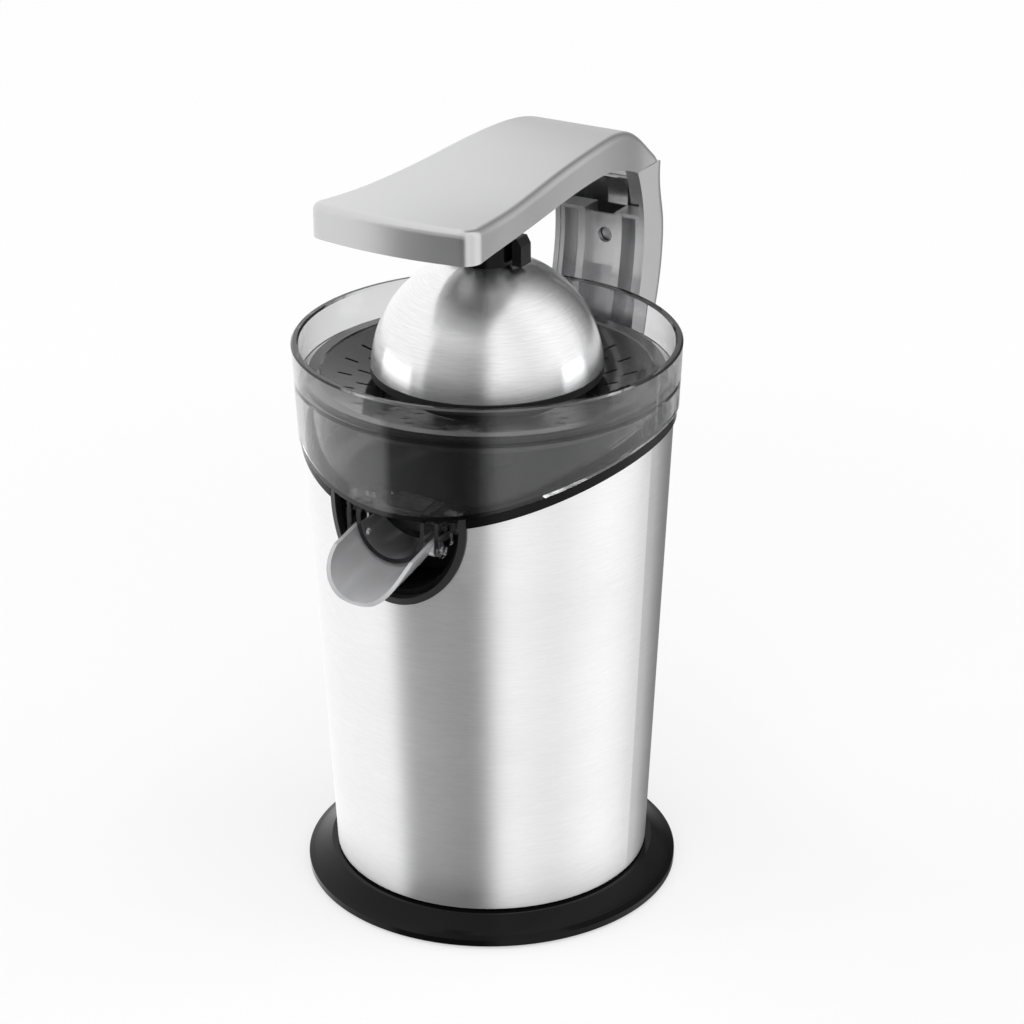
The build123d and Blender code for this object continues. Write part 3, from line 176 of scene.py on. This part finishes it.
MATS = {
    "gloss_black": moulded("gloss_black", (0.004, 0.004, 0.0043), 0.12, 500, 0.000003, spread=0.1,
                           specular=0.14),
    "black_plastic": moulded("black_plastic", (0.02, 0.02, 0.021), 0.42, 1400, 0.00004),
    "black_rubber": moulded("black_rubber", (0.018, 0.018, 0.018), 0.75, 700, 0.00005),
    "brushed_steel": brushed("brushed_steel", (0.92, 0.92, 0.922), 0.38, (1, 1, 40), 110, 0.000003,
                             0.08, aniso=0.95, turned=40),
    "dome_steel": brushed("dome_steel", (0.85, 0.85, 0.852), 0.24, (1, 1, 40), 110, 0.000002, 0.12,
                          aniso=0.9, turned=40),
    "deep_black": moulded("deep_black", (0.004, 0.004, 0.004), 0.6, 1400, 0.00004, specular=0.2),
    "dark_smoke": moulded("dark_smoke", (0.016, 0.016, 0.017), 0.14, 900, 0.000003, coat=0.4,
                          specular=0.6),
    "screw_steel": brushed("screw_steel", (0.55, 0.55, 0.56), 0.3, (1, 1, 1), 900),
    "shaft_steel": brushed("shaft_steel", (0.6, 0.6, 0.6), 0.22, (1, 1, 12), 500),
    "motor_steel": brushed("motor_steel", (0.42, 0.42, 0.43), 0.42, (1, 1, 8), 200),
    "magnet": moulded("magnet", (0.09, 0.09, 0.095), 0.6, 500, 0.00005),
    "bronze": moulded("bronze", (0.55, 0.36, 0.17), 0.38, 1200, 0.00003, metal=1.0),
    "gear_plastic": moulded("gear_plastic", (0.75, 0.73, 0.67), 0.4, 900),
    "spout_plastic": moulded("spout_plastic", (0.55, 0.55, 0.56), 0.24, 1200, 0.000004, coat=0.5,
                             spread=0.06, metal=0.35),
    "grey_plastic": moulded("grey_plastic", (0.10, 0.10, 0.105), 0.3, 1200, coat=0.1),
    "silver_plastic": moulded("silver_plastic", (0.61, 0.61, 0.615), 0.24, 2600, 0.000004,
                              metal=0.8, spread=0.02),
}


def smoked(name, color, rough, density):
    """Clear plastic whose smoke tint grows with its thickness, so that edges look darkest."""
    mat, tree, bsdf = material(name, color, rough, transmission=1.0, ior=1.5, specular=0.9)
    soft = noise(tree, 9, (1, 1, 0.4), detail=2)
    lighter = tuple(min(1, c * 1.03) for c in color)
    darker = tuple(c * 0.97 for c in color)
    tree.links.new(tint(tree, soft.outputs["Fac"], darker, lighter), bsdf.inputs["Base Color"])
    tree.links.new(ramp(tree, soft.outputs["Fac"], rough, rough * 2), bsdf.inputs["Roughness"])
    inside = add(tree, "ShaderNodeVolumeAbsorption")
    inside.inputs["Color"].default_value = SMOKE_DEPTH
    inside.inputs["Density"].default_value = density
    out = next(n for n in tree.nodes if n.type == "OUTPUT_MATERIAL")
    tree.links.new(inside.outputs["Volume"], out.inputs["Volume"])
    return mat


MATS["smoked_clear"] = smoked("smoked_clear", (0.93, 0.93, 0.935), 0.01, 120)

# Pieces whose finish differs from their slot's.
OWN = {"press_dome": "dome_steel", "chassis": "deep_black", "sieve": "dark_smoke"}
slot_of = {entry["node"]: entry["material_slot"] for entry in frame["record"]["subparts"]}
for name, obj in nodes.items():
    slot = slot_of[name]
    obj.data.materials.clear()
    obj.data.materials.append(MATS[OWN.get(name, slot)])


def return_coil():
    """Copy of the return spring, which sits between the output gear and the shaft's flange, as an
    object of its own; the spring node is hidden.
    """
    spring = nodes["return_spring"]
    coil = bpy.data.objects.new("return_coil", spring.data.copy())
    coil.matrix_world = spring.matrix_world
    scene.collection.objects.link(coil)
    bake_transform(coil)
    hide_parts("return_spring")


return_coil()

# ---- floor, light and camera --------------------------------------------------------------------
# The camera's azimuth in degrees, to the right of the spout's side.
AZIMUTH = 31.2
# Strength of the world's even light.
FILL = 0.45
FLOOR_SIZE = 14
FLOOR_TONE = (0.95, 0.95, 0.95, 1)
# The floor's share of white, near the object and far from it, and the distances in metres.
SHADE_NEAR, SHADE_FAR = 0.6, 0.97
NEAR_REACH, FAR_REACH = 0.16, 0.7
LAMP_DISTANCE = 1.6
LAMP_TARGET = Vector((0, 0, 0.17))
FOCAL_PIXELS = 3050.05
IMAGE_PIXELS = 1024
SENSOR_WIDTH = 36
CAMERA_DISTANCE, CAMERA_HEIGHT = 1.2537, 0.7406
PITCH, YAW, ROLL = math.radians(24.24), math.radians(-0.48), math.radians(-0.35)
# Studio round the object, as (angle, level) steps. Azimuths run to the right from the camera's side.
# A dark wall stands at the right-hand back. A flag stands in front, nearly black up to the horizon
# and thinner above it. Only reflections show the walls; what passes through clear plastic shows the
# flag too.
WALLS = ((-180, 1.1), (-74, 1.06), (-65, 1.04), (-15, 0.78), (-4, 0.84), (14, 1.1), (45, 0.94),
         (80, 1.18), (106, 1.08), (130, 0.4), (152, 0.12), (180, 0.75))
FLAG_AZIMUTHS = ((-180, 0), (-67, 0), (-61, 0.8), (-15, 0.92), (-7, 0.85), (6, 0), (180, 0))
FLAG_HEIGHTS = ((-180, 0), (-55, 0), (-42, 1), (-8, 1), (2, 0.55), (28, 0.55), (42, 0), (180, 0))


def steps(tree, degrees, table):
    """Level at an angle, read from (angle, level) steps."""
    levels = add(tree, "ShaderNodeValToRGB")
    stops = levels.color_ramp.elements
    while len(stops) < len(table):
        stops.new(0.5)
    for stop, (angle, level) in zip(stops, table):
        stop.position = (angle + 180) / 360
        stop.color = (level, level, level, 1)
    tree.links.new(ramp(tree, degrees, 0, 1, -math.pi, math.pi), levels.inputs["Fac"])
    return levels.outputs["Color"]


def maths(tree, operation, first, second=None):
    """Result of an operation on numbers or sockets."""
    node = add(tree, "ShaderNodeMath", operation=operation)
    for socket, source in zip(node.inputs, (first, second)):
        if isinstance(source, (int, float)):
            socket.default_value = source
        elif source is not None:
            tree.links.new(source, socket)
    return node.outputs["Value"]


def bearing(tree, direction):
    """Azimuth from the camera's side and height above the horizon of a direction, in radians."""
    turn = add(tree, "ShaderNodeMapping")
    turn.inputs["Rotation"].default_value = (0, 0, math.radians(90 - AZIMUTH))
    tree.links.new(direction, turn.inputs["Vector"])
    parts = add(tree, "ShaderNodeSeparateXYZ")
    tree.links.new(turn.outputs["Vector"], parts.inputs["Vector"])
    azimuth = maths(tree, "ARCTAN2", parts.outputs["Y"], parts.outputs["X"])
    return azimuth, maths(tree, "ARCSINE", parts.outputs["Z"])


def studio(tree):
    """Levels of the studio in the direction of a ray: walls with the flag, and the flag alone."""
    coord = add(tree, "ShaderNodeTexCoord")
    azimuth, height = bearing(tree, coord.outputs["Generated"])
    flag = maths(tree, "MULTIPLY", steps(tree, azimuth, FLAG_AZIMUTHS),
                 steps(tree, height, FLAG_HEIGHTS))
    free = maths(tree, "SUBTRACT", 1.0, flag)
    return maths(tree, "MULTIPLY", steps(tree, azimuth, WALLS), free), free


def plain_floor():
    """White to the camera except for the object's shadow. Clear plastic shows the flag on it."""
    bpy.ops.mesh.primitive_plane_add(size=FLOOR_SIZE, location=(0, 0, 0))
    floor = bpy.context.object
    floor.name = "floor"
    mat = bpy.data.materials.new("floor")
    mat.use_nodes = True
    tree = mat.node_tree
    tree.nodes.clear()
    out = add(tree, "ShaderNodeOutputMaterial")
    diffuse = add(tree, "ShaderNodeBsdfDiffuse")
    diffuse.inputs["Color"].default_value = FLOOR_TONE
    path = add(tree, "ShaderNodeLightPath")
    mirrored = maths(tree, "MAXIMUM", path.outputs["Is Transmission Ray"],
                     path.outputs["Is Glossy Ray"])
    coord = add(tree, "ShaderNodeTexCoord")
    azimuth, _ = bearing(tree, coord.outputs["Object"])
    flag = maths(tree, "MULTIPLY", steps(tree, azimuth, FLAG_AZIMUTHS), mirrored)
    glow = add(tree, "ShaderNodeEmission")
    glow.inputs["Color"].default_value = WHITE
    tree.links.new(maths(tree, "SUBTRACT", 1.0, flag), glow.inputs["Strength"])
    reach = add(tree, "ShaderNodeVectorMath", operation="LENGTH")
    tree.links.new(coord.outputs["Object"], reach.inputs[0])
    whiteness = ramp(tree, reach.outputs["Value"], SHADE_NEAR, SHADE_FAR, NEAR_REACH, FAR_REACH)
    seen = maths(tree, "MAXIMUM", path.outputs["Is Camera Ray"], mirrored)
    part = maths(tree, "MULTIPLY", seen, maths(tree, "MAXIMUM", whiteness, flag))
    mix = add(tree, "ShaderNodeMixShader")
    tree.links.new(part, mix.inputs["Fac"])
    tree.links.new(diffuse.outputs["BSDF"], mix.inputs[1])
    tree.links.new(glow.outputs["Emission"], mix.inputs[2])
    tree.links.new(mix.outputs["Shader"], out.inputs["Surface"])
    floor.data.materials.append(mat)
    floor.visible_glossy = False


plain_floor()


def world():
    """Even fill for soft light, the studio for reflections, and white behind the object."""
    sky = bpy.data.worlds.new("studio")
    scene.world = sky
    sky.use_nodes = True
    tree = sky.node_tree
    tree.nodes.clear()
    out = add(tree, "ShaderNodeOutputWorld")
    path = add(tree, "ShaderNodeLightPath")
    walls, free = studio(tree)
    fill = add(tree, "ShaderNodeBackground", Color=WHITE, Strength=FILL)
    shader = fill.outputs["Background"]
    layers = (("Is Glossy Ray", walls), ("Is Transmission Ray", free), ("Is Camera Ray", None))
    for ray, level in layers:
        cards = add(tree, "ShaderNodeBackground", Color=WHITE, Strength=1.0)
        if level is not None:
            tree.links.new(level, cards.inputs["Color"])
        mix = add(tree, "ShaderNodeMixShader")
        tree.links.new(path.outputs[ray], mix.inputs["Fac"])
        tree.links.new(shader, mix.inputs[1])
        tree.links.new(cards.outputs["Background"], mix.inputs[2])
        shader = mix.outputs["Shader"]
    tree.links.new(shader, out.inputs["Surface"])


world()


def softbox(name, azimuth, elevation, width, height, power):
    """Area light round the object; azimuth is measured from the camera's side, to the right."""
    a = math.radians(AZIMUTH + azimuth)
    e = math.radians(elevation)
    outward = Vector((math.sin(a) * math.cos(e), -math.cos(a) * math.cos(e), math.sin(e)))
    data = bpy.data.lights.new(name, "AREA")
    data.shape = "RECTANGLE"
    data.size = width
    data.size_y = height
    data.energy = power
    lamp = bpy.data.objects.new(name, data)
    lamp.location = LAMP_TARGET + outward * LAMP_DISTANCE
    lamp.rotation_euler = (-outward).to_track_quat("-Z", "Y").to_euler()
    lamp.visible_glossy = False
    scene.collection.objects.link(lamp)


softbox("left_box", azimuth=-100, elevation=12, width=1.3, height=1.6, power=13)
softbox("right_box", azimuth=92, elevation=12, width=0.9, height=1.6, power=9)
softbox("top_box", azimuth=10, elevation=75, width=1.2, height=1.2, power=13)


def camera():
    """Camera at the photograph's viewing angle."""
    a = math.radians(AZIMUTH)
    ahead = Vector((-math.sin(a), math.cos(a), 0))
    place = -ahead * CAMERA_DISTANCE + Vector((0, 0, CAMERA_HEIGHT))
    ahead.rotate(Matrix.Rotation(YAW, 3, "Z"))
    forward = Vector((ahead.x * math.cos(PITCH), ahead.y * math.cos(PITCH), -math.sin(PITCH)))
    level = forward.cross(Vector((0, 0, 1))).normalized()
    upright = level.cross(forward)
    right = level * math.cos(ROLL) + upright * math.sin(ROLL)
    up = upright * math.cos(ROLL) - level * math.sin(ROLL)
    data = bpy.data.cameras.new("camera")
    data.sensor_width = SENSOR_WIDTH
    data.lens = FOCAL_PIXELS / IMAGE_PIXELS * SENSOR_WIDTH
    data.clip_end = 2 * FLOOR_SIZE
    cam = bpy.data.objects.new("camera", data)
    turn = Matrix((right, up, -forward)).transposed()
    cam.matrix_world = Matrix.Translation(place) @ turn.to_4x4()
    scene.collection.objects.link(cam)
    scene.camera = cam


camera()
